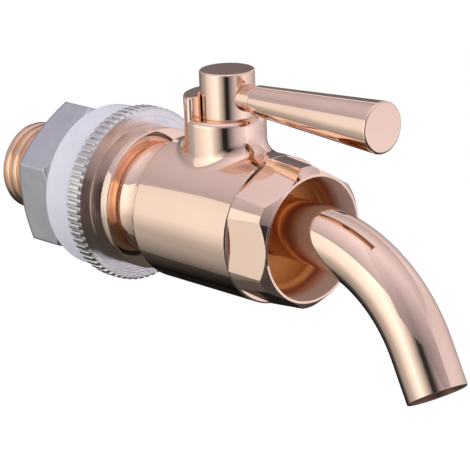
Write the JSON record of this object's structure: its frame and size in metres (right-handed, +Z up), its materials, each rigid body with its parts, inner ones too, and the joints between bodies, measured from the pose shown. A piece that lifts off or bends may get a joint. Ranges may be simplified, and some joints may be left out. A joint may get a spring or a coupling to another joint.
{
  "type": "beverage dispenser spigot",
  "caption": "Quarter-turn lever ball valve tap with threaded tail, gasket, lock ring and nut for a vessel wall, and a bent spout.",
  "frame": {"origin": "centre of the inlet end of the threaded tail", "axes": "+X along the tap from the inlet end to the mouth, +Z up along the valve stem, +Y to the tap's left seen from behind"},
  "size_m": [0.1039, 0.0308, 0.0485],
  "materials": {
    "rose_gold": "polished rose gold plating on metal",
    "satin_steel": "satin",
    "nickel": "bright nickel plating",
    "brass": "turned, bare",
    "silicone": "translucent white silicone",
    "ptfe": "waxy white",
    "black_rubber": "matte"
  },
  "bodies": {
    "tap_body": {"tail_fitting": "rose_gold", "tail_o_ring": "black_rubber", "wall_gasket": "silicone", "lock_ring": "nickel", "valve_body": "rose_gold", "rear_seat": "ptfe", "front_seat": "ptfe", "front_retainer": "rose_gold", "retainer_o_ring": "black_rubber", "spout_tube": "rose_gold"},
    "handle": {"handle_hub": "rose_gold", "lever_arm": "rose_gold", "stem": "brass", "ball": "nickel", "thrust_washer": "ptfe", "lower_stem_o_ring": "black_rubber", "upper_stem_o_ring": "black_rubber"},
    "nut": {"hex_nut": "satin_steel"}
  },
  "joints": [
    {"name": "lever_turn", "type": "hinge", "parent": "tap_body", "child": "handle", "pos_m": [0.0529, 0, 0.0214], "axis": [0, 0, 1], "range_deg": [-90, 90]},
    {"name": "nut_travel", "type": "slide", "parent": "tap_body", "child": "nut", "axis": [-1, 0, 0], "range_m": [0, 0.01165]}
  ]
}
